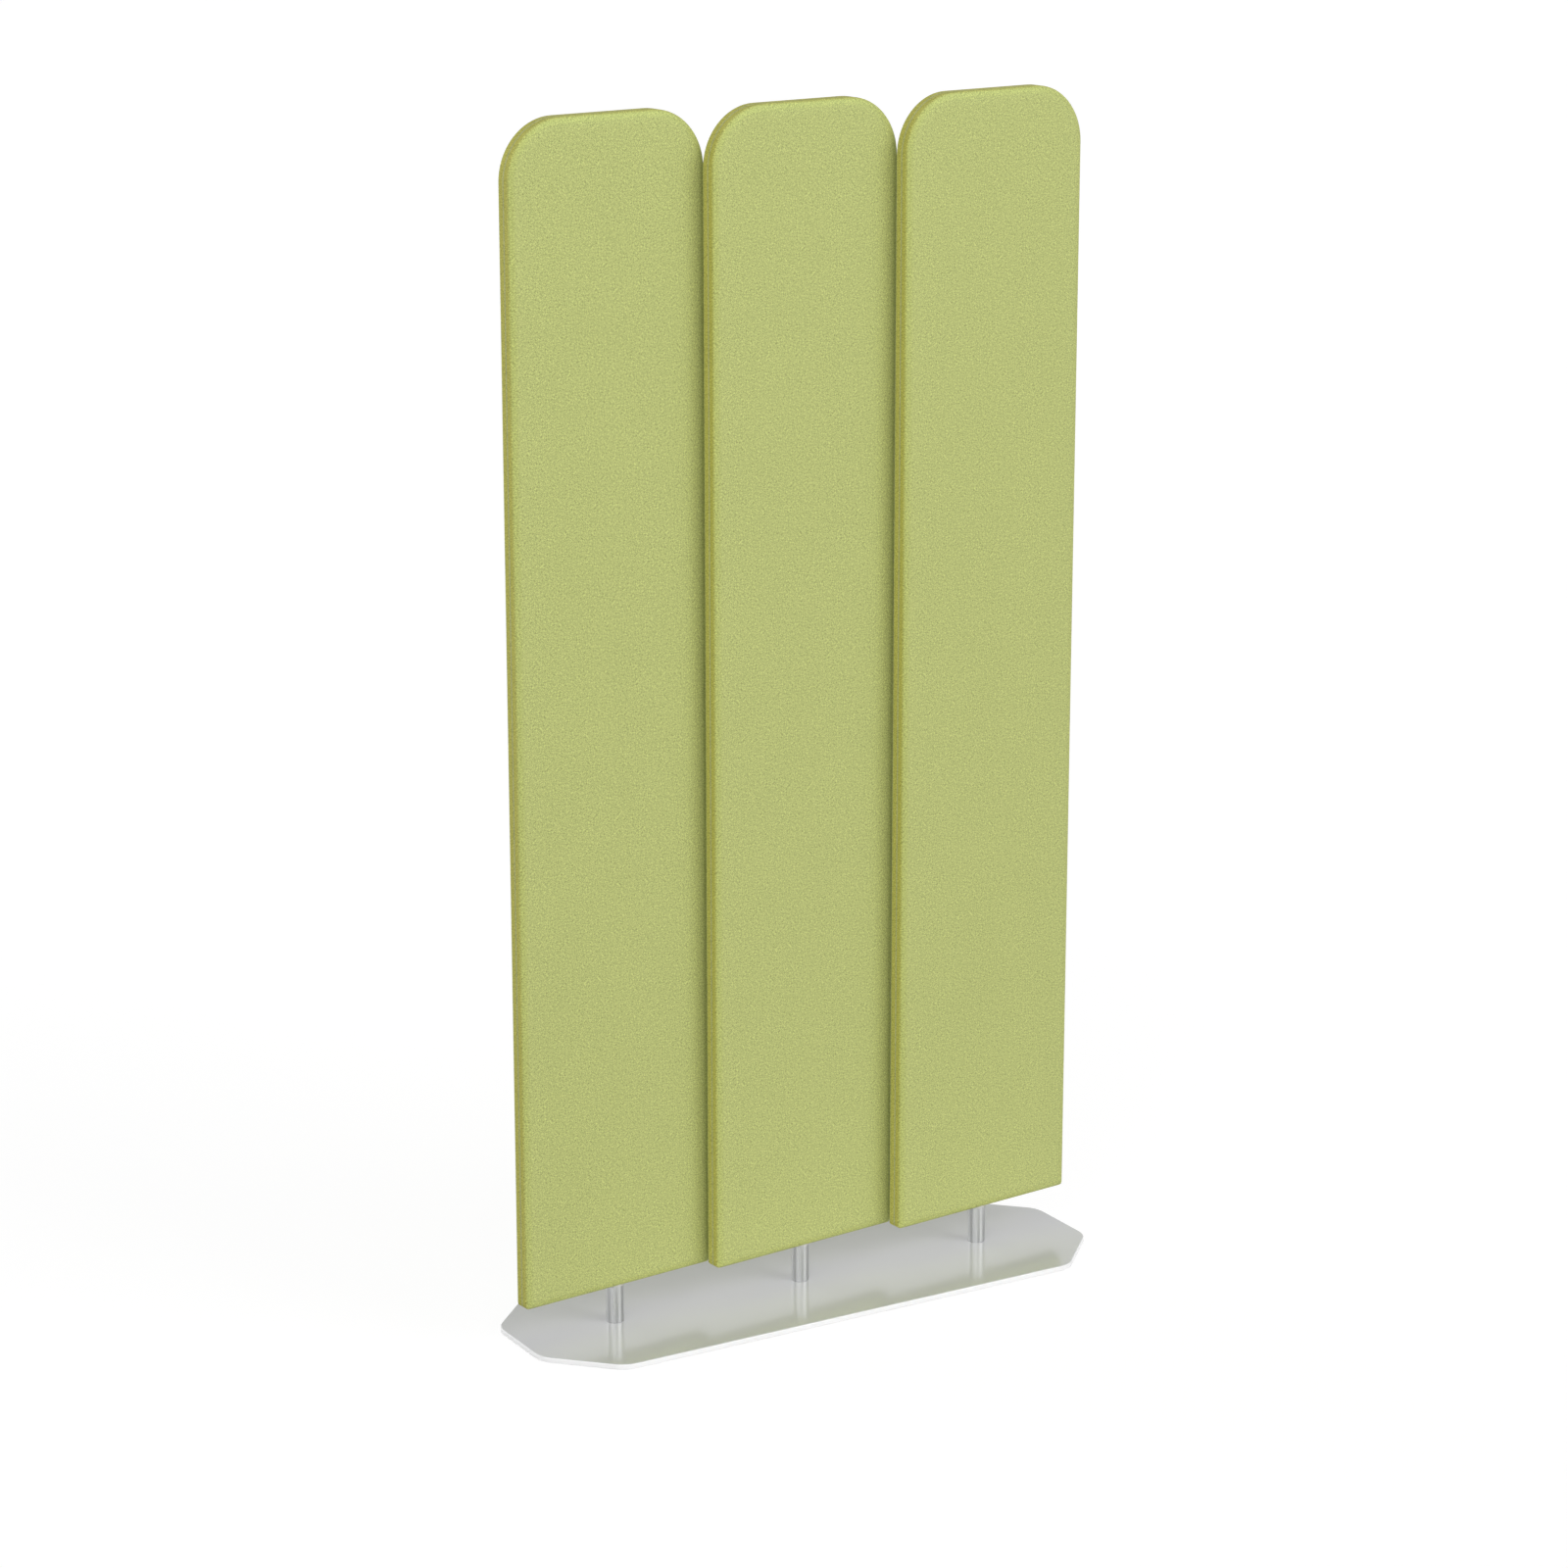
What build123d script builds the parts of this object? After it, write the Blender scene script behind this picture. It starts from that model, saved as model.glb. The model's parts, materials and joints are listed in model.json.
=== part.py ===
from build123d import *
import os

os.makedirs("parts", exist_ok=True)

# Acoustic divider screen: tall upholstered panels, each turning on its own post over one floor plate.
# The origin is the middle of the footprint on the floor. +Z is up, +X runs along the row of panels,
# and the front looks towards -Y. Lengths are in millimetres and angles in degrees.

# The row
panel_names = ("left", "centre", "right")
pitch = 320.0  # from post to post
closed_turn = 6.0  # turn of every panel when the row is closed, so that neighbours lap
panel_gap = 59.0  # from the floor plate up to the panels

# One panel, measured over its cover
panel_width = 326.0
panel_height = 1720.0
panel_thickness = 30.0
panel_top_round = 86.5
panel_bottom_round = 5.0
panel_rim_round = 4.5

# The panel's layers, from outside in
cover_skin = 1.0
foam_thickness = 4.0
tape_width = 2.4
slip = 0.1  # clearance between pieces that are pushed or glued together
core_inset = cover_skin + slip
core_thickness = panel_thickness - 2 * (core_inset + foam_thickness)
core_half = core_thickness / 2

# The board frame inside
stile_width = 30.0
top_rail = 60.0
bottom_rail = 70.0
cross_rail = 40.0
centre_stile = 70.0
bay_corner = 12.0
bay_columns = 2
bay_rows = 3

# Socket tube, with its foot plate
tube_wall = 2.0
tube_corner = 2.0
tube_length = 640.0
foot_length = 96.0
foot_thickness = 4.0
foot_corner = 3.0
foot_screw_spacing = 66.0

# Pivot
bar_diameter = 12.0
running_clearance = 0.05  # on the radius, between pivot bar and bushes
bush_length = 30.0
bush_spacing = 300.0  # from the foot of the lower bush to the foot of the upper one
flange_diameter = 24.0
flange_proud = 0.5  # how far the lower bush's flange stands out below the panel
flange_room = 0.4  # round the flange, in the covers
bar_end = 10.0  # length of bar above the upper bush
bar_tip = 1.5

# Post
post_diameter = 26.4
post_wall = 3.0
post_edge = 0.4
thrust_thickness = 1.2
thrust_spigot = 12.0
hub_height = 22.0
hub_edge = 1.0

# Floor plate
base_length = 960.0
base_width = 319.0
base_thickness = 8.0
corner_cut = 93.0
corner_round = 42.0
base_top_round = 2.0
base_bottom_round = 0.6

# Pads under the floor plate
pad_diameter = 40.0
pad_thickness = 1.0
pad_edge_inset = 36.0  # from the plate's edge to the pad's middle

# Countersunk socket screws under the posts
screw_diameter = 8.0
screw_head_diameter = 16.0
screw_length = 20.0
screw_socket = 5.0  # across flats
screw_socket_depth = 2.5
screw_room = 0.2  # on the radius, in the plate
tapped_extra = 3.0  # hole below the screw's end
head_angle = 90

# Countersunk wood screws in the foot plate
wood_screw_diameter = 4.0
wood_screw_head_diameter = 8.0
wood_screw_length = 35.0
wood_screw_tip = 4.0
wood_screw_socket = 2.5
wood_screw_socket_depth = 1.2

# Levels and derived sizes
overrun = 1.0  # how far a cut runs past the faces it opens
base_top = pad_thickness + base_thickness
panel_bottom = base_top + panel_gap
core_bottom = panel_bottom + core_inset
flange_bottom = panel_bottom - flange_proud
post_top = flange_bottom - thrust_thickness
post_bore = post_diameter - 2 * post_wall
tube_bore = core_thickness - 2 * tube_wall
bush_side = tube_bore - 2 * slip
bar_top = core_bottom + bush_spacing + bush_length + bar_end
post_x = {name: (i - (len(panel_names) - 1) / 2) * pitch for i, name in enumerate(panel_names)}

frame_height = panel_height - 2 * core_inset
frame_width = panel_width - 2 * core_inset
bay_width = (frame_width - 2 * stile_width - centre_stile) / bay_columns
bay_height = (frame_height - top_rail - bottom_rail - (bay_rows - 1) * cross_rail) / bay_rows
bay_middle = core_inset + bottom_rail + (frame_height - top_rail - bottom_rail) / 2


def upright_plane(name, facing=1):
    """Plane in the middle of a panel, X along its width, Y up. It looks forwards, or back if facing is -1."""
    along = Vector(1, 0, 0).rotate(Axis.Z, closed_turn) * facing
    forwards = Vector(0, -1, 0).rotate(Axis.Z, closed_turn) * facing
    return Plane(origin=(post_x[name], 0, panel_bottom), x_dir=along, z_dir=forwards)


def level_plane(name, height):
    """Plane across a post at a height, X along the panel's width, Z up."""
    along = Vector(1, 0, 0).rotate(Axis.Z, closed_turn)
    return Plane(origin=(post_x[name], 0, height), x_dir=along, z_dir=(0, 0, 1))


def below_plane(x, height):
    """Plane on an underside at a height, Z down, for what is drilled from below."""
    return Plane(origin=(x, 0, height), x_dir=(1, 0, 0), z_dir=(0, 0, -1))


def panel_outline(inset):
    """Draws the panel's outline, drawn in all round by inset, in the open sketch."""
    with Locations((0, inset)):
        Rectangle(panel_width - 2 * inset, panel_height - 2 * inset, align=(Align.CENTER, Align.MIN))
    fillet(vertices().group_by(Axis.Y)[-1], panel_top_round - inset)
    fillet(vertices().group_by(Axis.Y)[0], panel_bottom_round - inset)


def bay_locations():
    """Middles of the bays of the board frame."""
    with Locations((0, bay_middle)):
        return GridLocations(bay_width + centre_stile, bay_height + cross_rail, bay_columns, bay_rows)


def outer_rim(part, plane):
    """Edges of the face that lies furthest along a plane's normal."""
    return part.faces().sort_by(Axis(plane.origin, plane.z_dir))[-1].edges()


def countersunk_profile(diameter, head_diameter, length):
    """Draws half a countersunk screw in the open sketch: axis on Y, head face at zero, pointing up."""
    head_depth = (head_diameter - diameter) / 2
    Polygon(
        (0, 0),
        (head_diameter / 2, 0),
        (diameter / 2, head_depth),
        (diameter / 2, length),
        (0, length),
        align=None,
    )


def save(builder, name):
    """Labels a finished piece and writes it."""
    builder.part.label = name
    export_step(builder.part, f"parts/{name}.step")


# Floor plate: a long octagon with rounded corners, a soft top edge and countersunk holes from below
with BuildPart() as base_plate:
    with BuildSketch(Plane.XY.offset(pad_thickness)):
        plate = Rectangle(base_length, base_width)
        chamfer(plate.vertices(), corner_cut)
        fillet(vertices(), corner_round)
    extrude(amount=base_thickness)
    fillet(base_plate.faces().sort_by(Axis.Z)[-1].edges(), base_top_round)
    fillet(base_plate.faces().sort_by(Axis.Z)[0].edges(), base_bottom_round)
    with Locations([below_plane(x, pad_thickness) for x in post_x.values()]):
        CounterSinkHole(
            screw_diameter / 2 + screw_room,
            screw_head_diameter / 2 + screw_room,
            depth=base_thickness + overrun,
            counter_sink_angle=head_angle,
        )
save(base_plate, "base_plate")

# Pads: one at each corner of the straight sides, one in the middle of each side
pad_x = base_length / 2 - corner_cut
pad_y = base_width / 2 - pad_edge_inset
pad_end = base_length / 2 - pad_edge_inset
with BuildPart() as floor_pads:
    with BuildSketch():
        with Locations((0, pad_y), (0, -pad_y), (pad_end, 0), (-pad_end, 0)):
            Circle(pad_diameter / 2)
        with GridLocations(2 * pad_x, 2 * pad_y, 2, 2):
            Circle(pad_diameter / 2)
    extrude(amount=pad_thickness)
save(floor_pads, "floor_pads")

# Socket screws, heads flush with the underside of the plate
with BuildPart() as post_screws:
    for x in post_x.values():
        with BuildSketch(Plane(origin=(x, 0, pad_thickness), x_dir=(1, 0, 0), z_dir=(0, -1, 0))):
            countersunk_profile(screw_diameter, screw_head_diameter, screw_length)
        revolve(axis=Axis((x, 0, 0), (0, 0, 1)))
        with BuildSketch(Plane(origin=(x, 0, pad_thickness))):
            RegularPolygon(screw_socket / 2, 6, major_radius=False)
        extrude(amount=screw_socket_depth, mode=Mode.SUBTRACT)
save(post_screws, "post_screws")

for name in panel_names:
    x = post_x[name]
    near = upright_plane(name)
    far = upright_plane(name, -1)

    # Post: a round tube that stands on the plate and hides the pivot bar's hub
    with BuildPart() as post:
        with BuildSketch(level_plane(name, base_top)):
            Circle(post_diameter / 2)
            Circle(post_bore / 2, mode=Mode.SUBTRACT)
        extrude(amount=post_top - base_top)
        chamfer(post.edges().filter_by(GeomType.CIRCLE), post_edge)
    save(post, f"{name}_post")

    # Pivot bar: one turned piece, a wide hub below and a slim bar above, tapped from below
    with BuildPart() as pivot_bar:
        with BuildSketch(level_plane(name, base_top)):
            Circle(post_bore / 2 - slip)
        extrude(amount=hub_height)
        chamfer(pivot_bar.edges().group_by(Axis.Z)[-1], hub_edge)
        with BuildSketch(level_plane(name, base_top)):
            Circle(bar_diameter / 2)
        extrude(amount=bar_top - base_top)
        chamfer(pivot_bar.edges().group_by(Axis.Z)[-1], bar_tip)
        with Locations(below_plane(x, base_top)):
            Hole(screw_diameter / 2 + slip, depth=screw_length - base_thickness + tapped_extra)
    save(pivot_bar, f"{name}_pivot_bar")

    # Thrust bearing: a flat ring on the post's top, held by a spigot in its bore
    with BuildPart() as thrust_bearing:
        with BuildSketch(level_plane(name, post_top)):
            Circle(post_diameter / 2)
        extrude(amount=thrust_thickness)
        with BuildSketch(level_plane(name, post_top)):
            Circle(post_bore / 2 - slip)
        extrude(amount=-thrust_spigot)
        with BuildSketch(level_plane(name, post_top - thrust_spigot)):
            Circle(bar_diameter / 2 + running_clearance)
        extrude(amount=thrust_spigot + thrust_thickness, mode=Mode.SUBTRACT)
    save(thrust_bearing, f"{name}_thrust_bearing")

    # Covers: a front and a back pan of cloth that meet the tape at the middle of the edge
    for side, plane in (("front", near), ("back", far)):
        with BuildPart() as cover:
            with BuildSketch(plane.offset(tape_width / 2)):
                panel_outline(0)
            extrude(amount=(panel_thickness - tape_width) / 2)
            fillet(outer_rim(cover, plane), panel_rim_round)
            open_side = cover.faces().sort_by(Axis(plane.origin, plane.z_dir))[0]
            offset(amount=-cover_skin, openings=open_side)
            with BuildSketch(level_plane(name, panel_bottom)):
                Circle(flange_diameter / 2 + flange_room)
            extrude(amount=panel_rim_round, mode=Mode.SUBTRACT)
        save(cover, f"{name}_cover_{side}")

        # Foam: a thin sheet between cover and board, its outer rim rounded as the cover is
        with BuildPart() as foam:
            with BuildSketch(plane.offset(core_half)):
                panel_outline(core_inset)
            extrude(amount=foam_thickness)
            fillet(outer_rim(foam, plane), panel_rim_round - core_inset)
        save(foam, f"{name}_foam_{side}")

    # Tape: closes the two covers all round, open where the pivot enters
    with BuildPart() as edge_tape:
        with BuildSketch(near.offset(-tape_width / 2)):
            panel_outline(0)
        extrude(amount=tape_width)
        with BuildSketch(near.offset(-tape_width / 2)):
            panel_outline(cover_skin)
        extrude(amount=tape_width, mode=Mode.SUBTRACT)
        with BuildSketch(level_plane(name, panel_bottom)):
            Circle(flange_diameter / 2 + flange_room)
        extrude(amount=cover_skin, mode=Mode.SUBTRACT)
    save(edge_tape, f"{name}_edge_tape")

    # Board frame: cut from one board, with bays for the filling and a slot for the socket tube
    with BuildPart() as core_frame:
        with BuildSketch(near.offset(-core_half)):
            panel_outline(core_inset)
            with bay_locations():
                RectangleRounded(bay_width, bay_height, bay_corner, mode=Mode.SUBTRACT)
            with Locations((0, core_inset)):
                Rectangle(
                    core_thickness + 2 * slip,
                    tube_length + slip,
                    align=(Align.CENTER, Align.MIN),
                    mode=Mode.SUBTRACT,
                )
                Rectangle(
                    foot_length + 2 * slip,
                    foot_thickness + slip,
                    align=(Align.CENTER, Align.MIN),
                    mode=Mode.SUBTRACT,
                )
        extrude(amount=core_thickness)
        with BuildSketch(level_plane(name, core_bottom + foot_thickness)):
            with GridLocations(foot_screw_spacing, 0, 2, 1):
                Circle(wood_screw_diameter / 2 + slip)
        extrude(amount=wood_screw_length - foot_thickness + slip, mode=Mode.SUBTRACT)
    save(core_frame, f"{name}_core_frame")

    # Filling: one block of sound-absorbing felt in each bay
    with BuildPart() as acoustic_infill:
        with BuildSketch(near.offset(-core_half)):
            with bay_locations():
                RectangleRounded(bay_width - 2 * slip, bay_height - 2 * slip, bay_corner)
        extrude(amount=core_thickness)
    save(acoustic_infill, f"{name}_acoustic_infill")

    # Socket tube: square tube welded to a foot plate that is screwed up into the bottom rail
    with BuildPart() as socket_tube:
        with BuildSketch(level_plane(name, core_bottom)):
            RectangleRounded(core_thickness, core_thickness, tube_corner)
        extrude(amount=tube_length)
        with BuildSketch(level_plane(name, core_bottom)):
            RectangleRounded(foot_length, core_thickness, foot_corner)
        extrude(amount=foot_thickness)
        with BuildSketch(level_plane(name, core_bottom)):
            Rectangle(tube_bore, tube_bore)
        extrude(amount=tube_length, mode=Mode.SUBTRACT)
        foot_under = Plane(level_plane(name, core_bottom).origin, near.x_dir, (0, 0, -1))
        with Locations(foot_under):
            with GridLocations(foot_screw_spacing, 0, 2, 1):
                CounterSinkHole(
                    wood_screw_diameter / 2 + slip,
                    wood_screw_head_diameter / 2 + slip,
                    depth=foot_thickness + overrun,
                    counter_sink_angle=head_angle,
                )
    save(socket_tube, f"{name}_socket_tube")

    # Wood screws, heads flush with the underside of the foot plate
    with BuildPart() as foot_screws:
        for shift in (-foot_screw_spacing / 2, foot_screw_spacing / 2):
            centre = level_plane(name, core_bottom).from_local_coords((shift, 0, 0))
            with BuildSketch(Plane(origin=centre, x_dir=near.x_dir, z_dir=near.z_dir)):
                countersunk_profile(wood_screw_diameter, wood_screw_head_diameter, wood_screw_length)
            revolve(axis=Axis(centre, (0, 0, 1)))
            with BuildSketch(Plane(origin=centre)):
                RegularPolygon(wood_screw_socket / 2, 6, major_radius=False)
            extrude(amount=wood_screw_socket_depth, mode=Mode.SUBTRACT)
        tips = foot_screws.edges().group_by(Axis.Z)[-1]
        chamfer(tips, wood_screw_tip, wood_screw_diameter / 2 - slip)
    save(foot_screws, f"{name}_foot_screws")

    # Lower bush: square in the tube, with a round flange that carries the panel on the thrust bearing
    with BuildPart() as lower_bush:
        with BuildSketch(level_plane(name, core_bottom)):
            Rectangle(bush_side, bush_side)
        extrude(amount=bush_length)
        with BuildSketch(level_plane(name, flange_bottom)):
            Circle(flange_diameter / 2)
        extrude(amount=core_bottom - flange_bottom)
        with BuildSketch(level_plane(name, flange_bottom)):
            Circle(bar_diameter / 2 + running_clearance)
        extrude(amount=core_bottom + bush_length - flange_bottom, mode=Mode.SUBTRACT)
    save(lower_bush, f"{name}_lower_bush")

    # Upper bush: the same square block without a flange
    with BuildPart() as upper_bush:
        with BuildSketch(level_plane(name, core_bottom + bush_spacing)):
            Rectangle(bush_side, bush_side)
            Circle(bar_diameter / 2 + running_clearance, mode=Mode.SUBTRACT)
        extrude(amount=bush_length)
    save(upper_bush, f"{name}_upper_bush")
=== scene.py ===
"""Acoustic divider screen: three upholstered panels, each on a round post over one floor plate.

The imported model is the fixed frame. This script dresses its nodes and makes the soft pieces of
every panel: two stretched covers, the seam tape between them, two foam pads and the felt filling
of the board frame. Lengths are in metres, and pattern sizes in millimetres where their names say
so.
"""

import json
import logging
import math
from collections.abc import Callable, Iterator
from contextlib import contextmanager
from dataclasses import dataclass
from enum import Enum

import bmesh
import bpy
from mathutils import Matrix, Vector

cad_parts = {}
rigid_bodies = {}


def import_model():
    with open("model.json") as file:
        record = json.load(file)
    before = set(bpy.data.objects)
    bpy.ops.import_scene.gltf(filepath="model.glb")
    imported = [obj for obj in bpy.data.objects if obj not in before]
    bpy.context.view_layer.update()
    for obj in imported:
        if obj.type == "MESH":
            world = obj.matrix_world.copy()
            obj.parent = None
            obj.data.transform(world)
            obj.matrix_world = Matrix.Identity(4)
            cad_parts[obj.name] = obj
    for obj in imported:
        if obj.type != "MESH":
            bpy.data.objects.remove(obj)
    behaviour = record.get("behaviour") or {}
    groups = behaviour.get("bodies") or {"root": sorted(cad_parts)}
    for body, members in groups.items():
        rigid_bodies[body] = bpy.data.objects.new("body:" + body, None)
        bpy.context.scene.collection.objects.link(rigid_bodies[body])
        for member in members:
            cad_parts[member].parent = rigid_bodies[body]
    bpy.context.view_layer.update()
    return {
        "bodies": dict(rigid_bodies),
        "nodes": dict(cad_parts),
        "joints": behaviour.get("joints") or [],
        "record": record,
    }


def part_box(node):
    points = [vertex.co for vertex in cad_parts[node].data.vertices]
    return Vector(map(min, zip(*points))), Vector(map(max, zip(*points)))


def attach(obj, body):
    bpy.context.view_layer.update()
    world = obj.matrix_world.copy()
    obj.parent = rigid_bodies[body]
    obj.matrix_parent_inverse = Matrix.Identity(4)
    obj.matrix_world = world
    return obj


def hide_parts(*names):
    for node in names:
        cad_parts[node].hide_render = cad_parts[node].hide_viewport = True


log = logging.getLogger("divider_screen")

MM = 0.001
WEAVE_MAP = "weave"
WRAP = "wrap"
# Nearly all values of a noise lie between these two
NOISE_SPAN = (0.35, 0.65)

Colour = tuple[float, float, float, float]


class Pick(Enum):
    """What an edit-mode selection is made of."""

    VERT = "verts"
    EDGE = "edges"
    FACE = "faces"


class Side(Enum):
    """The two sides of a panel, and how far a front piece turns about its height to get there."""

    FRONT = 0.0
    BACK = math.pi


def linear(code: str) -> Colour:
    """Turns an sRGB hex colour into linear light.

    Args:
        code: The colour, such as "#B9C178".

    Returns:
        Red, green, blue and an alpha of one.
    """
    parts = [int(code[i : i + 2], 16) / 255 for i in (1, 3, 5)]
    red, green, blue = (c / 12.92 if c <= 0.04045 else ((c + 0.055) / 1.055) ** 2.4 for c in parts)
    return red, green, blue, 1.0


def add_node(
    tree: bpy.types.NodeTree, kind: str, inputs: dict | None = None, **settings
) -> bpy.types.Node:
    """Adds one node with its settings and links.

    Args:
        tree: The node tree that it goes into.
        kind: Blender's name for the node.
        inputs: The socket or the value that each input gets, by its name or number.
        **settings: The node's own properties.

    Returns:
        The new node.
    """
    node = tree.nodes.new(kind)
    for name, value in settings.items():
        setattr(node, name, value)
    for key, value in (inputs or {}).items():
        if isinstance(value, bpy.types.NodeSocket):
            tree.links.new(value, node.inputs[key])
        else:
            node.inputs[key].default_value = value
    return node


@dataclass(frozen=True)
class Finish:
    """A finish that can be made into one material."""

    def paint(self, tree: bpy.types.NodeTree, shader: bpy.types.Node) -> None:
        """Adds the finish's nodes to a tree that already holds its shader."""
        raise NotImplementedError

    def material(self, name: str) -> bpy.types.Material:
        """Makes the material.

        Args:
            name: What the real material is called.

        Returns:
            A material with one Principled shader and the finish's nodes.
        """
        made = bpy.data.materials.new(name)
        made.use_nodes = True
        self.paint(made.node_tree, made.node_tree.nodes["Principled BSDF"])
        return made

    def noise(
        self, tree: bpy.types.NodeTree, size_mm: float, detail: float = 2.0
    ) -> bpy.types.NodeSocket:
        """Adds noise on Object coordinates.

        Args:
            tree: The material's node tree.
            size_mm: The real size of its grain.
            detail: How many finer layers lie on it.

        Returns:
            The noise, from zero to one.
        """
        place = add_node(tree, "ShaderNodeTexCoord").outputs["Object"]
        laid = {"Vector": place, "Scale": 1 / (size_mm * MM), "Detail": detail}
        return add_node(tree, "ShaderNodeTexNoise", laid).outputs[0]

    def blend(
        self,
        tree: bpy.types.NodeTree,
        share: bpy.types.NodeSocket,
        low: str,
        high: str,
        span: tuple[float, float],
    ) -> bpy.types.NodeSocket:
        """Adds a blend of two colours.

        Args:
            tree: The material's node tree.
            share: What the blend follows.
            low: Hex colour at the start of the span.
            high: Hex colour at its end.
            span: The values of share between which the colour changes.

        Returns:
            The blended colour.
        """
        part = {"Value": share, "From Min": span[0], "From Max": span[1]}
        ramp = add_node(tree, "ShaderNodeMapRange", part).outputs[0]
        mix = {0: ramp, 6: linear(low), 7: linear(high)}
        return add_node(tree, "ShaderNodeMix", mix, data_type="RGBA").outputs[2]

    def dull_by(
        self,
        tree: bpy.types.NodeTree,
        shader: bpy.types.Node,
        share: bpy.types.NodeSocket,
        roughness: tuple[float, float],
        span: tuple[float, float] = (0.0, 1.0),
    ) -> None:
        """Gives the shader a roughness that changes over a span of share.

        Args:
            tree: The material's node tree.
            shader: The shader whose roughness it is.
            share: What the roughness follows.
            roughness: The roughness at the start of the span and at its end.
            span: The values of share between which it changes.
        """
        part = {"Value": share, "From Min": span[0], "From Max": span[1]}
        levels = {"To Min": roughness[0], "To Max": roughness[1]}
        ramp = add_node(tree, "ShaderNodeMapRange", part | levels).outputs[0]
        tree.links.new(ramp, shader.inputs["Roughness"])

    def raise_by(
        self,
        tree: bpy.types.NodeTree,
        shader: bpy.types.Node,
        height: bpy.types.NodeSocket,
        depth_mm: float,
    ) -> None:
        """Gives the shader a relief of a real depth that follows height.

        Args:
            tree: The material's node tree.
            shader: The shader whose surface is raised.
            height: What the relief follows, from zero to one.
            depth_mm: The real height of the relief.
        """
        relief = {"Height": height, "Strength": 1.0, "Distance": depth_mm * MM}
        bump = add_node(tree, "ShaderNodeBump", relief)
        tree.links.new(bump.outputs["Normal"], shader.inputs["Normal"])


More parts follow.
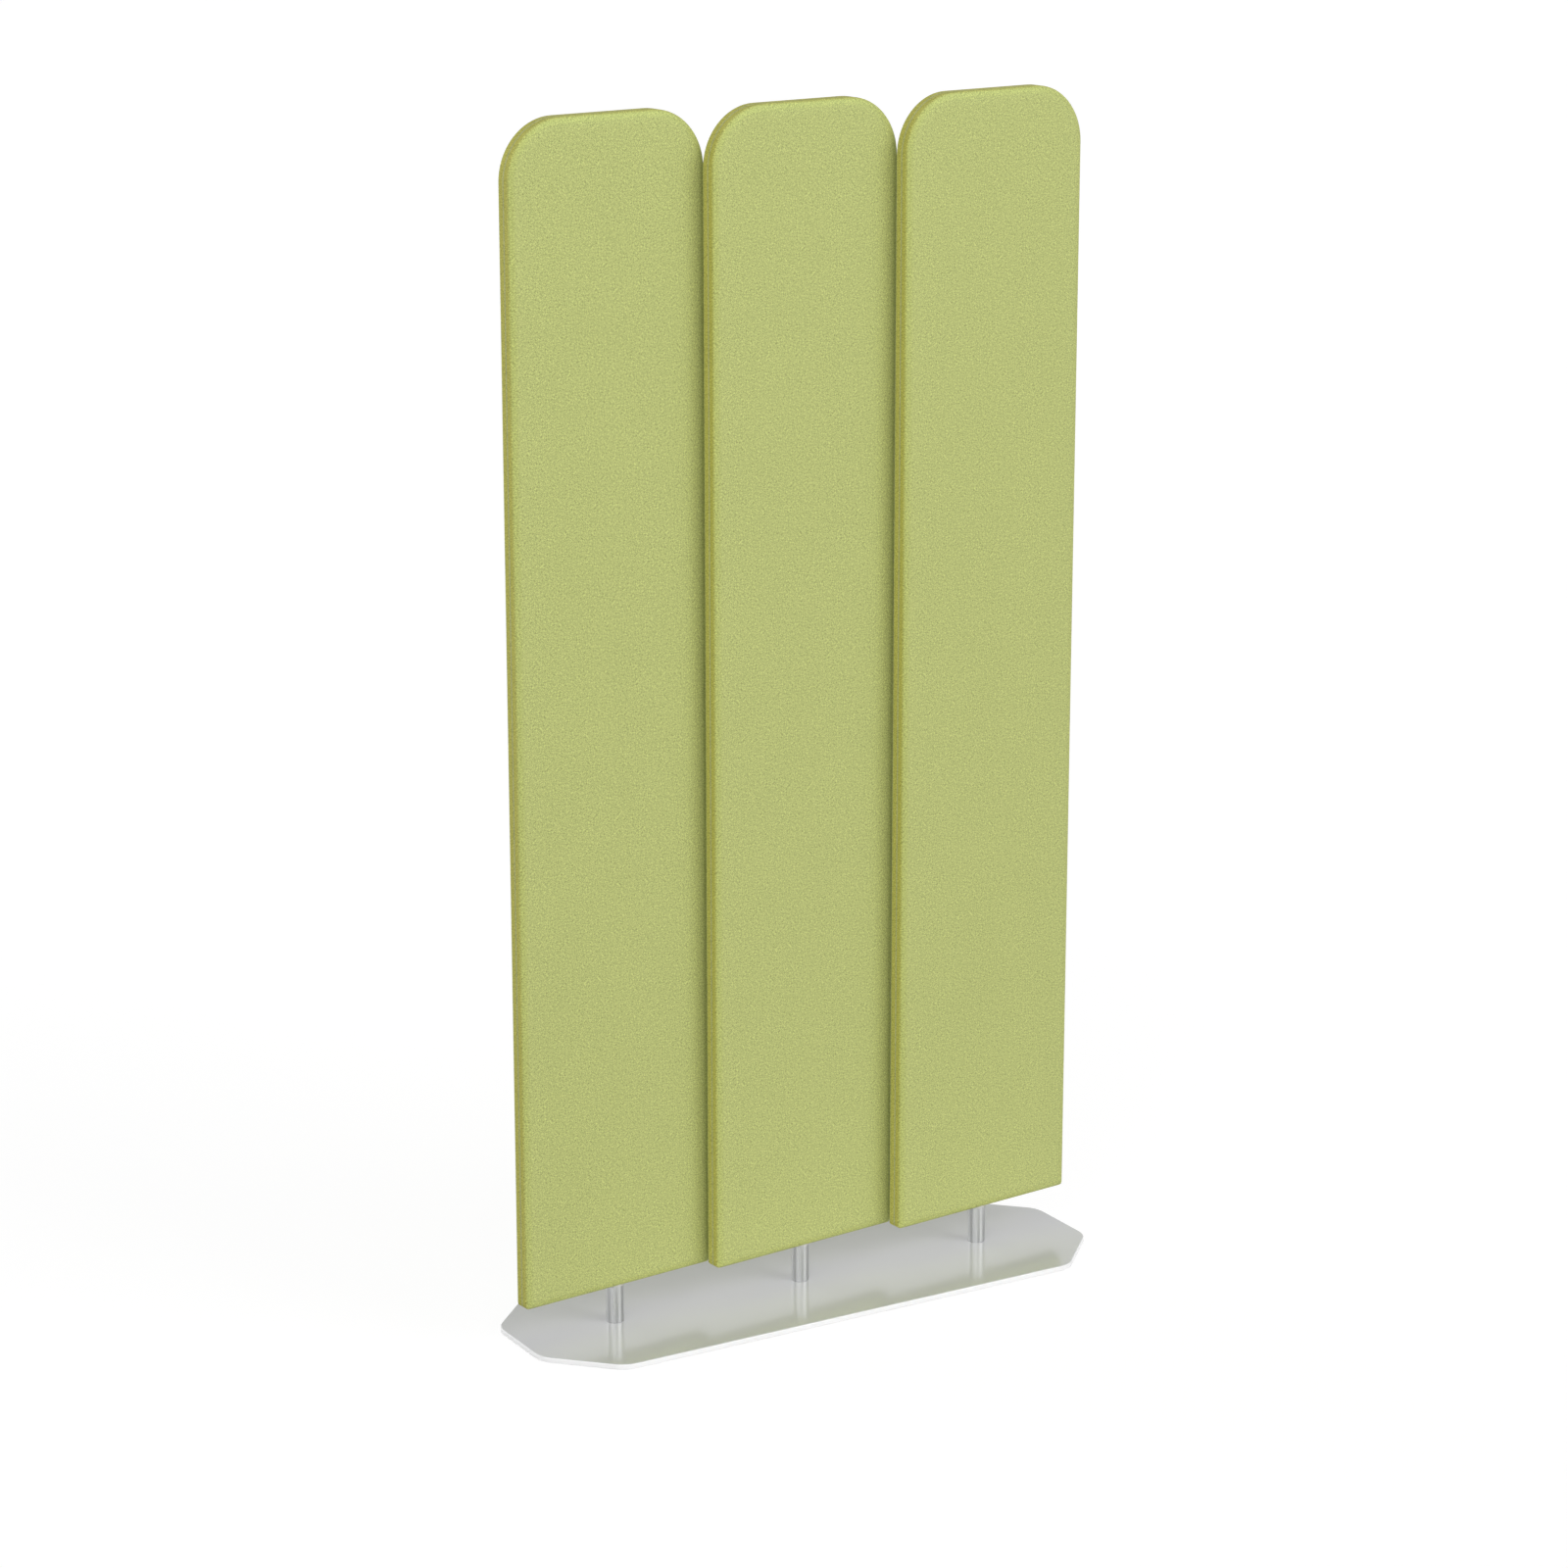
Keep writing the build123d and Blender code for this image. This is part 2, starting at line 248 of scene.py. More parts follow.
@dataclass(frozen=True)
class CrepeCloth(Finish):
    """Upholstery crepe, woven from dyed polyester: short slanted floats in patches, softly glossy.

    The wrap attribute says how far the cloth has gone over the rim. The cloth is duller on the
    narrow sides, where the weave opens. Its colour carries painted shade: a little darker and
    greener where it bends over the rim, and darker and more olive on the narrow sides. Real floats
    are about half as long and wide, which would be too fine to show.
    """

    face: str = "#B3B875"
    # Painted shade: the rim colour is a little darker and greener than the face, the side colour
    # darker and more olive
    rim: str = "#AFB46B"
    side: str = "#B1AD59"
    painted_bend_shade_mm: tuple[float, float] = (2.0, 10.0)
    painted_side_shade_mm: tuple[float, float] = (12.0, 17.0)
    float_length_mm: float = 3.0
    float_width_mm: float = 1.1
    slants: tuple[float, float] = (math.radians(40), math.radians(-50))
    patch_mm: float = 11.0
    patch_border: tuple[float, float] = (0.42, 0.58)
    grain: tuple[float, float] = (0.64, 1.36)
    shade_span: tuple[float, float] = (0.3, 0.7)
    mottle_mm: float = 90.0
    mottle: tuple[float, float] = (0.99, 1.01)
    relief_mm: float = 0.2
    roughness: tuple[float, float] = (0.33, 0.95)
    dull_mm: tuple[float, float] = (11.0, 15.0)
    gloss: float = 0.62
    gloss_tint: str = "#DCFFA8"
    sheen: float = 0.05
    sheen_roughness: float = 0.4
    sheen_tint: str = "#E4EDBB"

    def paint(self, tree: bpy.types.NodeTree, shader: bpy.types.Node) -> None:
        """Adds the weave in colour and relief, painted shade and gloss along the wrap, and the
        sheen.

        Args:
            tree: The material's node tree.
            shader: Its Principled shader.
        """
        floats = self.floats(tree)
        wrap = add_node(tree, "ShaderNodeAttribute", attribute_name=WRAP).outputs["Fac"]
        woven = {0: 1.0, 6: self.colour_with_painted_shade(tree, wrap), 7: self.shade(tree, floats)}
        mixed = add_node(tree, "ShaderNodeMix", woven, data_type="RGBA", blend_type="MULTIPLY")
        tree.links.new(mixed.outputs[2], shader.inputs["Base Color"])
        self.raise_by(tree, shader, floats, self.relief_mm)
        start, end = (length * MM for length in self.dull_mm)
        self.dull_by(tree, shader, wrap, self.roughness, (start, end))
        shader.inputs["Specular IOR Level"].default_value = self.gloss
        shader.inputs["Specular Tint"].default_value = linear(self.gloss_tint)
        shader.inputs["Sheen Weight"].default_value = self.sheen
        shader.inputs["Sheen Roughness"].default_value = self.sheen_roughness
        shader.inputs["Sheen Tint"].default_value = linear(self.sheen_tint)

    def floats(self, tree: bpy.types.NodeTree) -> bpy.types.NodeSocket:
        """Adds patches of floats that slant one way or the other.

        Args:
            tree: The material's node tree.

        Returns:
            How high the yarn stands, from zero to one.
        """
        weave = add_node(tree, "ShaderNodeUVMap", uv_map=WEAVE_MAP).outputs["UV"]
        sets = []
        for slant in self.slants:
            stretch = (self.float_length_mm * MM, self.float_width_mm * MM, 1.0)
            laid = {"Vector": weave, "Rotation": (0.0, 0.0, slant), "Scale": stretch}
            along = add_node(tree, "ShaderNodeMapping", laid, vector_type="TEXTURE").outputs[0]
            yarn = {"Vector": along, "Scale": 1.0, "Detail": 1.0, "Roughness": 0.4}
            drawn = add_node(tree, "ShaderNodeTexNoise", yarn, noise_dimensions="2D")
            sets.append(drawn.outputs[0])
        patch = {"Vector": weave, "Scale": 1 / (self.patch_mm * MM), "Detail": 1.0}
        lie = add_node(tree, "ShaderNodeTexNoise", patch, noise_dimensions="2D").outputs[0]
        border = {"Value": lie, "From Min": self.patch_border[0], "From Max": self.patch_border[1]}
        share = add_node(tree, "ShaderNodeMapRange", border).outputs[0]
        return add_node(tree, "ShaderNodeMix", {0: share, 2: sets[0], 3: sets[1]}).outputs[0]

    def shade(self, tree: bpy.types.NodeTree, floats: bpy.types.NodeSocket) -> bpy.types.NodeSocket:
        """Adds how light the cloth is: lighter on the floats, with a slow mottle.

        Args:
            tree: The material's node tree.
            floats: How high the yarn stands.

        Returns:
            What the cloth's colour is multiplied by.
        """
        start, end = self.shade_span
        mottle = self.noise(tree, self.mottle_mm)
        levels = []
        for value, (low, high) in ((floats, self.grain), (mottle, self.mottle)):
            part = {"Value": value, "From Min": start, "From Max": end}
            part |= {"To Min": low, "To Max": high}
            levels.append(add_node(tree, "ShaderNodeMapRange", part).outputs[0])
        both = {0: levels[0], 1: levels[1]}
        return add_node(tree, "ShaderNodeMath", both, operation="MULTIPLY").outputs[0]

    def colour_with_painted_shade(self, tree: bpy.types.NodeTree, wrap: bpy.types.NodeSocket) -> bpy.types.NodeSocket:
        """Adds the cloth's colour along the wrap, with painted shade at the bend and on the narrow
        side.

        Args:
            tree: The material's node tree.
            wrap: How far the cloth has gone over the rim, in metres.

        Returns:
            The colour with its painted shade, before the weave.
        """
        bend_start, bend_end = (length * MM for length in self.painted_bend_shade_mm)
        side_start, side_end = (length * MM for length in self.painted_side_shade_mm)
        # Painted shade: the colour darkens towards the rim colour over the bend
        bend = self.blend(tree, wrap, self.face, self.rim, (bend_start, bend_end))
        edge = {"Value": wrap, "From Min": side_start, "From Max": side_end}
        share = add_node(tree, "ShaderNodeMapRange", edge).outputs[0]
        # Painted shade: then darker and more olive towards the side colour on the narrow side
        dyed = {0: share, 6: bend, 7: linear(self.side)}
        return add_node(tree, "ShaderNodeMix", dyed, data_type="RGBA").outputs[2]


@dataclass(frozen=True)
class SeamTape(Finish):
    """Narrow polyester tape, woven: paler and greyer than the cloth, with a fine dry grain."""

    light: str = "#B4B883"
    dark: str = "#8F9560"
    grain_mm: float = 2.0
    grain_span: tuple[float, float] = (0.35, 0.6)
    relief_mm: float = 0.15
    roughness: float = 0.8
    sheen: float = 0.1

    def paint(self, tree: bpy.types.NodeTree, shader: bpy.types.Node) -> None:
        """Adds the grain of the tape in colour and relief.

        Args:
            tree: The material's node tree.
            shader: Its Principled shader.
        """
        grain = self.noise(tree, self.grain_mm)
        colour = self.blend(tree, grain, self.dark, self.light, self.grain_span)
        tree.links.new(colour, shader.inputs["Base Color"])
        self.raise_by(tree, shader, grain, self.relief_mm)
        shader.inputs["Roughness"].default_value = self.roughness
        shader.inputs["Sheen Weight"].default_value = self.sheen


@dataclass(frozen=True)
class SilverPowderCoat(Finish):
    """Polyester powder coat with aluminium flake, baked: light silver grey, very slightly pebbled.

    The flakes show as a faint speckle and the clear resin over them mirrors its surroundings.
    Upright
    edges carry a painted highlight: their coat is painted nearly white.
    """

    light: str = "#D4D5D7"
    dark: str = "#CACBCD"
    # Painted highlight: the colour that upright edges are painted
    edge: str = "#FAFAFA"
    painted_highlight_rise: tuple[float, float] = (0.9, 0.4)
    flake_mm: float = 0.9
    peel_mm: float = 3.5
    relief_mm: float = 0.004
    roughness: tuple[float, float] = (0.41, 0.49)
    specular: float = 0.1
    resin: float = 1.0
    resin_roughness: float = 0.14

    def paint(self, tree: bpy.types.NodeTree, shader: bpy.types.Node) -> None:
        """Adds the flakes in colour, a painted highlight on upright edges, and the pebbled resin's
        relief and gloss.

        Args:
            tree: The material's node tree.
            shader: Its Principled shader.
        """
        flakes = self.noise(tree, self.flake_mm, detail=1.0)
        flat = self.blend(tree, flakes, self.dark, self.light, NOISE_SPAN)
        # Painted highlight: faces that stand upright are painted nearly white
        facing = add_node(tree, "ShaderNodeNewGeometry").outputs["Normal"]
        rise = add_node(tree, "ShaderNodeSeparateXYZ", {0: facing}).outputs["Z"]
        upright = add_node(tree, "ShaderNodeMath", {0: rise}, operation="ABSOLUTE").outputs[0]
        turn = {"Value": upright, "From Min": self.painted_highlight_rise[0], "From Max": self.painted_highlight_rise[1]}
        share = add_node(tree, "ShaderNodeMapRange", turn).outputs[0]
        painted = {0: share, 6: flat, 7: linear(self.edge)}
        coat = add_node(tree, "ShaderNodeMix", painted, data_type="RGBA").outputs[2]
        tree.links.new(coat, shader.inputs["Base Color"])
        peel = self.noise(tree, self.peel_mm, detail=1.0)
        self.dull_by(tree, shader, peel, self.roughness)
        self.raise_by(tree, shader, peel, self.relief_mm)
        shader.inputs["Specular IOR Level"].default_value = self.specular
        shader.inputs["Coat Weight"].default_value = self.resin
        shader.inputs["Coat Roughness"].default_value = self.resin_roughness


@dataclass(frozen=True)
class SatinSteel(Finish):
    """Stainless tube, ground lengthwise to a satin: bright cool metal with fine straight lines."""

    light: str = "#D0D1D1"
    dark: str = "#C0C1C2"
    line_mm: tuple[float, float] = (0.4, 60.0)
    relief_mm: float = 0.002
    roughness: tuple[float, float] = (0.25, 0.31)

    def paint(self, tree: bpy.types.NodeTree, shader: bpy.types.Node) -> None:
        """Adds the ground lines in colour, gloss and relief.

        Args:
            tree: The material's node tree.
            shader: Its Principled shader.
        """
        place = add_node(tree, "ShaderNodeTexCoord").outputs["Object"]
        across, along = (length * MM for length in self.line_mm)
        laid = {"Vector": place, "Scale": (across, across, along)}
        ground = add_node(tree, "ShaderNodeMapping", laid, vector_type="TEXTURE").outputs[0]
        drawn = {"Vector": ground, "Scale": 1.0, "Detail": 2.0}
        lines = add_node(tree, "ShaderNodeTexNoise", drawn).outputs[0]
        colour = self.blend(tree, lines, self.dark, self.light, NOISE_SPAN)
        tree.links.new(colour, shader.inputs["Base Color"])
        self.dull_by(tree, shader, lines, self.roughness)
        self.raise_by(tree, shader, lines, self.relief_mm)
        shader.inputs["Metallic"].default_value = 1.0


@dataclass(frozen=True)
class TurnedZinc(Finish):
    """Mild steel, turned and bright zinc plated: cool grey metal with fine rings from the tool."""

    light: str = "#D3D6D8"
    dark: str = "#AEB2B6"
    cloud_mm: float = 14.0
    cloud_span: tuple[float, float] = (0.3, 0.7)
    ring_mm: float = 0.6
    relief_mm: float = 0.01
    roughness: tuple[float, float] = (0.26, 0.4)

    def paint(self, tree: bpy.types.NodeTree, shader: bpy.types.Node) -> None:
        """Adds the cloudy plating in colour and gloss, and the tool's rings in relief.

        Args:
            tree: The material's node tree.
            shader: Its Principled shader.
        """
        cloud = self.noise(tree, self.cloud_mm)
        colour = self.blend(tree, cloud, self.dark, self.light, self.cloud_span)
        tree.links.new(colour, shader.inputs["Base Color"])
        self.dull_by(tree, shader, cloud, self.roughness)
        place = add_node(tree, "ShaderNodeTexCoord").outputs["Object"]
        rings = {"Vector": place, "Scale": 1 / (self.ring_mm * MM * math.pi), "Distortion": 0.4}
        tool = add_node(tree, "ShaderNodeTexWave", rings, bands_direction="Z").outputs["Fac"]
        self.raise_by(tree, shader, tool, self.relief_mm)
        shader.inputs["Metallic"].default_value = 1.0


@dataclass(frozen=True)
class MouldedFinish(Finish):
    """A plain finish whose colour, gloss and relief all follow one grain."""

    light: str
    dark: str
    grain_mm: float
    relief_mm: float
    roughness: tuple[float, float]
    sheen: float = 0.0

    def paint(self, tree: bpy.types.NodeTree, shader: bpy.types.Node) -> None:
        """Adds the grain in colour, gloss and relief.

        Args:
            tree: The material's node tree.
            shader: Its Principled shader.
        """
        grain = self.noise(tree, self.grain_mm, detail=3.0)
        colour = self.blend(tree, grain, self.dark, self.light, NOISE_SPAN)
        tree.links.new(colour, shader.inputs["Base Color"])
        self.dull_by(tree, shader, grain, self.roughness)
        self.raise_by(tree, shader, grain, self.relief_mm)
        shader.inputs["Sheen Weight"].default_value = self.sheen


@dataclass
class Materials:
    """The materials of the record's slots."""

    made: dict[str, bpy.types.Material]

    @classmethod
    def build(cls) -> "Materials":
        """Makes a material for every slot.

        Returns:
            The materials by the name of their slot.
        """
        finishes = {
            "lime_cloth": ("polyester_crepe_lime", CrepeCloth()),
            "edge_tape": ("woven_polyester_tape", SeamTape()),
            "silver_lacquer": ("silver_powder_coat", SilverPowderCoat()),
            "satin_steel": ("ground_stainless_steel", SatinSteel()),
            "zinc_steel": ("turned_zinc_plated_steel", TurnedZinc()),
            # Acetal, turned: waxy pale grey with a faint machined grain
            "bearing_plastic": (
                "turned_acetal",
                MouldedFinish(
                    "#CFCFCB", "#BEBEBA", grain_mm=1.5, relief_mm=0.01, roughness=(0.38, 0.46)
                ),
            ),
            # Moulded rubber: nearly black, dusty and dull
            "pad_rubber": (
                "moulded_rubber",
                MouldedFinish(
                    "#2E2E2D", "#1E1E1E", grain_mm=1.2, relief_mm=0.05, roughness=(0.75, 0.9)
                ),
            ),
            # Open-cell polyurethane foam: warm off-white, pores all over
            "foam": (
                "open_cell_foam",
                MouldedFinish(
                    "#E4DECB",
                    "#BDB59D",
                    grain_mm=1.4,
                    relief_mm=0.35,
                    roughness=(0.9, 1.0),
                    sheen=0.1,
                ),
            ),
            # Pressed polyester felt: mid grey, matted fibres
            "felt": (
                "pressed_polyester_felt",
                MouldedFinish(
                    "#8B8E90",
                    "#5F6265",
                    grain_mm=2.2,
                    relief_mm=0.4,
                    roughness=(0.92, 1.0),
                    sheen=0.2,
                ),
            ),
            # Medium-density fibreboard, routed: light brown with a fine fibre speckle
            "board": (
                "routed_fibreboard",
                MouldedFinish(
                    "#C9A777", "#AE8A5B", grain_mm=1.0, relief_mm=0.03, roughness=(0.7, 0.82)
                ),
            ),
        }
        return cls({slot: finish.material(name) for slot, (name, finish) in finishes.items()})

    def dress(self, piece: bpy.types.Object, slot: str) -> None:
        """Gives a piece the material of a slot, in place of what it had."""
        piece.data.materials.clear()
        piece.data.materials.append(self.made[slot])


@contextmanager
def edit_mode(piece: bpy.types.Object) -> Iterator[None]:
    """Opens a piece in edit mode with nothing selected, and closes it again.

    Args:
        piece: The object to open.
    """
    bpy.ops.object.select_all(action="DESELECT")
    bpy.context.view_layer.objects.active = piece
    piece.select_set(True)
    bpy.ops.object.mode_set(mode="EDIT")
    bpy.ops.mesh.select_all(action="DESELECT")
    yield
    bpy.ops.object.mode_set(mode="OBJECT")


def pick(piece: bpy.types.Object, what: Pick, test: Callable[[Vector], bool]) -> None:
    """Selects, in edit mode, the elements all of whose vertices pass a test, and nothing else.

    Args:
        piece: The object that is open in edit mode.
        what: Vertices, edges or faces.
        test: Says of a point whether it passes.
    """
    bpy.ops.mesh.select_mode(type=what.name)
    bpy.ops.mesh.select_all(action="DESELECT")
    mesh = bmesh.from_edit_mesh(piece.data)
    for element in getattr(mesh, what.value):
        corners = [element] if what is Pick.VERT else element.verts
        if all(test(corner.co) for corner in corners):
            element.select_set(True)
    mesh.select_flush_mode()
    bmesh.update_edit_mesh(piece.data)


def finish_modifier(piece: bpy.types.Object, kind: str, **settings) -> None:
    """Adds a modifier to a piece, sets it up and applies it.

    Args:
        piece: The object that it shapes.
        kind: Blender's name for the modifier.
        **settings: The modifier's own properties.
    """
    bpy.ops.object.select_all(action="DESELECT")
    bpy.context.view_layer.objects.active = piece
    piece.select_set(True)
    bpy.ops.object.modifier_add(type=kind)
    modifier = piece.modifiers[-1]
    for name, value in settings.items():
        setattr(modifier, name, value)
    bpy.ops.object.modifier_apply(modifier=modifier.name)


@dataclass(frozen=True)
class PanelSizes:
    """Sizes of one panel.

    The panel's own frame has X along its width, Z up from its foot and the front at -Y.
    """

    width: float = 0.3272
    height: float = 1.7204
    thickness: float = 0.030
    top_round: float = 0.0865
    bottom_round: float = 0.005
    rim_round: float = 0.0045
    rim_width: float = 0.014
    rim_fall: float = 0.005
    rim_fullness: float = 2.3
    crown: float = 0.0015
    cloth: float = 0.001
    slip: float = 0.0001
    cloth_cut: tuple[float, float] = (0.350, 1.744)
    seam_fold: float = 0.0008
    tape_width: float = 0.0024
    tape_fold: float = 0.0005
    board: float = 0.0198
    bay: tuple[float, float] = (0.0967, 0.5024)
    bay_corner: float = 0.012
    first_bay: tuple[float, float] = (-0.08345, 0.3224)
    bay_pitch: tuple[float, float] = (0.1669, 0.5426)
    felt_edge: float = 0.0015
    flange_hole: float = 0.0248
    hole_sides: int = 64

    @property
    def front(self) -> float:
        """Distance from the middle of the panel to the cover's face, before it is crowned."""
        return self.thickness / 2

    @property
    def seam(self) -> float:
        """Where the front cover's edge lies on Y, beside the tape."""
        return -self.tape_width / 2

    def depth_inside(self, point: Vector) -> float:
        """Distance of a point inward from the panel's outline, seen from the front.

        Args:
            point: A place in the panel's own frame.

        Returns:
            The distance, negative outside the outline.
        """
        corner = self.corner_round(point)
        over_x = abs(point.x) - (self.width / 2 - corner)
        over_z = abs(point.z - self.height / 2) - (self.height / 2 - corner)
        return corner - math.hypot(max(over_x, 0), max(over_z, 0)) - min(max(over_x, over_z), 0)

    def corner_round(self, point: Vector) -> float:
        """Radius of the outline's corners in the half of the panel where a point is."""
        return self.top_round if point.z > self.height / 2 else self.bottom_round

    def outward(self, point: Vector) -> Vector:
        """Direction across the outline nearest to a point, seen from the front.

        Args:
            point: A place in the panel's own frame.

        Returns:
            A unit vector whose two parts lie along X and Z.
        """
        corner = self.corner_round(point)
        over_x = abs(point.x) - (self.width / 2 - corner)
        over_z = abs(point.z - self.height / 2) - (self.height / 2 - corner)
        if over_x > 0 and over_z > 0:
            way = Vector((over_x, over_z))
        else:
            way = Vector((1, 0)) if over_x > over_z else Vector((0, 1))
        sign_x = math.copysign(1, point.x)
        sign_z = math.copysign(1, point.z - self.height / 2)
        return Vector((way.x * sign_x, way.y * sign_z)).normalized()

    def fall(self, inside: float) -> float:
        """How far the soft rim lies behind the flat face, at a distance inward from the outline."""
        share = min(max(1 - inside / self.rim_width, 0.0), 1.0)
        return self.rim_fall * (1 - (1 - share**self.rim_fullness) ** (1 / self.rim_fullness))

    def wrap(self, point: Vector) -> float:
        """Length of cloth from where the rim begins to fall to a point.

        Args:
            point: A place on the front cover.

        Returns:
            The length, negative where the point is still on the flat face.
        """
        gap = self.rim_width - self.depth_inside(point)
        depth = max(point.y + self.front, 0.0)
        rounded = min(depth, self.rim_fall)
        return math.hypot(gap, rounded) + depth - rounded if gap > 0 else gap


@dataclass
class SoftMasters:
    """Makes each soft piece of a panel once, in the panel's own frame, for the panels to copy."""

    sizes: PanelSizes
    round_steps: int = 18
    foot_steps: int = 3
    rim_steps: int = 6
    fold_steps: int = 3
    bay_steps: int = 6
    cell: float = 0.024
    crown_rings: tuple[float, ...] = (0.002, 0.0035, 0.005, 0.0065)
    pressure: float = 4.0
    swell_quality: int = 5
    swell_frames: int = 20
    give: float = 0.006
    crease: float = math.radians(40)
    near: float = 2e-5

    def build(self) -> dict[str, bpy.types.Object]:
        """Makes the four masters.

        Returns:
            The cover's cloth, the foam pad, the seam tape and the felt filling, by name.
        """
        pan = self.pan()
        self.swell(pan)
        self.ease_rim(pan)
        made = {"cloth": pan, "pad": self.pad(pan)}
        made |= {"seam_tape": self.tape(), "felt_filling": self.felt()}
        self.line_with_cloth(pan)
        for piece in made.values():
            bpy.ops.object.select_all(action="DESELECT")
            bpy.context.view_layer.objects.active = piece
            piece.select_set(True)
            bpy.ops.object.shade_smooth_by_angle(angle=self.crease)
        return made

    def on_outline(self, point: Vector) -> bool:
        """Says whether a point lies on the panel's outline, seen from the front."""
        return self.sizes.depth_inside(point) < self.near

    def on_face(self, point: Vector, inset: float) -> bool:
        """Says whether a point lies on the cover's flat face, further in than the inset."""
        return point.y < self.near - self.sizes.front and self.sizes.depth_inside(point) > inset

    def at_foot_corner(self, point: Vector, reach: float) -> bool:
        """Says whether a point lies in the face's plane, within reach of a corner at the foot."""
        beside = abs(point.x) > self.sizes.width / 2 - reach
        return point.y < self.near - self.sizes.front and point.z < reach and beside

    def upright_face(
        self, name: str, middle: Vector, size: tuple[float, float]
    ) -> bpy.types.Object:
        """Adds a flat rectangle that looks forwards.

        Args:
            name: The new object's name.
            middle: Where its middle stands.
            size: Its width and height.

        Returns:
            The object, with its place in its mesh.
        """
        bpy.ops.object.select_all(action="DESELECT")
        bpy.ops.mesh.primitive_plane_add(size=1, location=middle, rotation=(math.pi / 2, 0, 0))
        piece = bpy.context.object
        piece.name = piece.data.name = name
        piece.scale = (*size, 1)
        bpy.ops.object.transform_apply(location=True, rotation=True, scale=True)
        return piece

    def outline(self, name: str) -> bpy.types.Object:
        """Makes a flat face with the panel's outline, in the plane of the front cover's edge.

        Args:
            name: The new object's name.

        Returns:
            The object, its face looking forwards.
        """
        sizes = self.sizes
        middle = Vector((0, sizes.seam, sizes.height / 2))
        piece = self.upright_face(name, middle, (sizes.width, sizes.height))
        rises = round(sizes.height / self.cell)
        steps = round(sizes.width / self.cell)
        with edit_mode(piece):
            pick(piece, Pick.VERT, lambda p: p.z > sizes.height / 2)
            bpy.ops.mesh.bevel(offset=sizes.top_round, segments=self.round_steps, affect="VERTICES")
            pick(piece, Pick.VERT, lambda p: p.z < sizes.bottom_round)
            bpy.ops.mesh.bevel(
                offset=sizes.bottom_round, segments=self.foot_steps, affect="VERTICES"
            )
            pick(piece, Pick.EDGE, lambda p: abs(p.x) > sizes.width / 2 - self.near)
            bpy.ops.mesh.subdivide(number_cuts=rises)
            for end in (0.0, sizes.height):
                pick(piece, Pick.EDGE, lambda p, end=end: abs(p.z - end) < self.near)
                bpy.ops.mesh.subdivide(number_cuts=steps)
            bpy.ops.mesh.select_all(action="SELECT")
            bpy.ops.mesh.dissolve_faces()
        return piece

    def pan(self) -> bpy.types.Object:
        """Makes the outer surface of a front cover, a pan with straight walls and a round rim.

        Returns:
            The pan, open at the seam, with its faces outwards.
        """
        sizes = self.sizes
        piece = self.outline("cloth_master")
        foot = sizes.bottom_round + MM
        wall = -sizes.front - sizes.seam
        with edit_mode(piece):
            pick(piece, Pick.FACE, lambda p: True)
            bpy.ops.mesh.delete(type="ONLY_FACE")
            pick(piece, Pick.EDGE, self.on_outline)
            bpy.ops.mesh.extrude_region_move(TRANSFORM_OT_translate={"value": (0, wall, 0)})
            bpy.ops.mesh.edge_face_add()
            bpy.ops.mesh.select_all(action="SELECT")
            bpy.ops.mesh.normals_make_consistent(inside=False)
            pick(piece, Pick.EDGE, lambda p: self.on_outline(p) and p.y < self.near - sizes.front)
            bpy.ops.mesh.bevel(offset=sizes.rim_round, segments=self.rim_steps, affect="EDGES")
            # At the foot the rim takes up nearly all of a corner's round, so the face's corner
            # becomes a point
            pick(piece, Pick.VERT, lambda p: self.at_foot_corner(p, foot))
            bpy.ops.mesh.merge(type="COLLAPSE")
            self.grid_face(piece)
            bpy.ops.mesh.select_all(action="SELECT")
            bpy.ops.mesh.normals_make_consistent(inside=False)
        return piece

    def grid_face(self, piece: bpy.types.Object) -> None:
        """Rings the flat face of a cover that is open in edit mode, and cuts its middle into cells.

        Args:
            piece: The cover's outer surface.
        """
        sizes = self.sizes
        margin = sizes.rim_round - self.near
        pick(piece, Pick.FACE, lambda p: self.on_face(p, margin))
        for ring in self.crown_rings:
            bpy.ops.mesh.inset(thickness=ring)
        inner = margin + sum(self.crown_rings) - self.crown_rings[-1] / 2
        rises = round(sizes.height / self.cell)
        steps = round(sizes.width / self.cell)
        straight = sizes.height - sizes.top_round - sizes.bottom_round
        levels = [sizes.bottom_round + straight * i / (rises + 1) for i in range(1, rises + 2)]
        foot = sizes.width - 2 * sizes.bottom_round
        columns = [foot * (i / (steps + 1) - 0.5) for i in range(1, steps + 1)]
        cuts = [(Vector((0, 0, z)), Vector((0, 0, 1))) for z in levels]
        cuts += [(Vector((x, 0, 0)), Vector((1, 0, 0))) for x in columns]
        for point, normal in cuts:
            pick(piece, Pick.FACE, lambda p: self.on_face(p, inner))
            bpy.ops.mesh.bisect(plane_co=point, plane_no=normal)

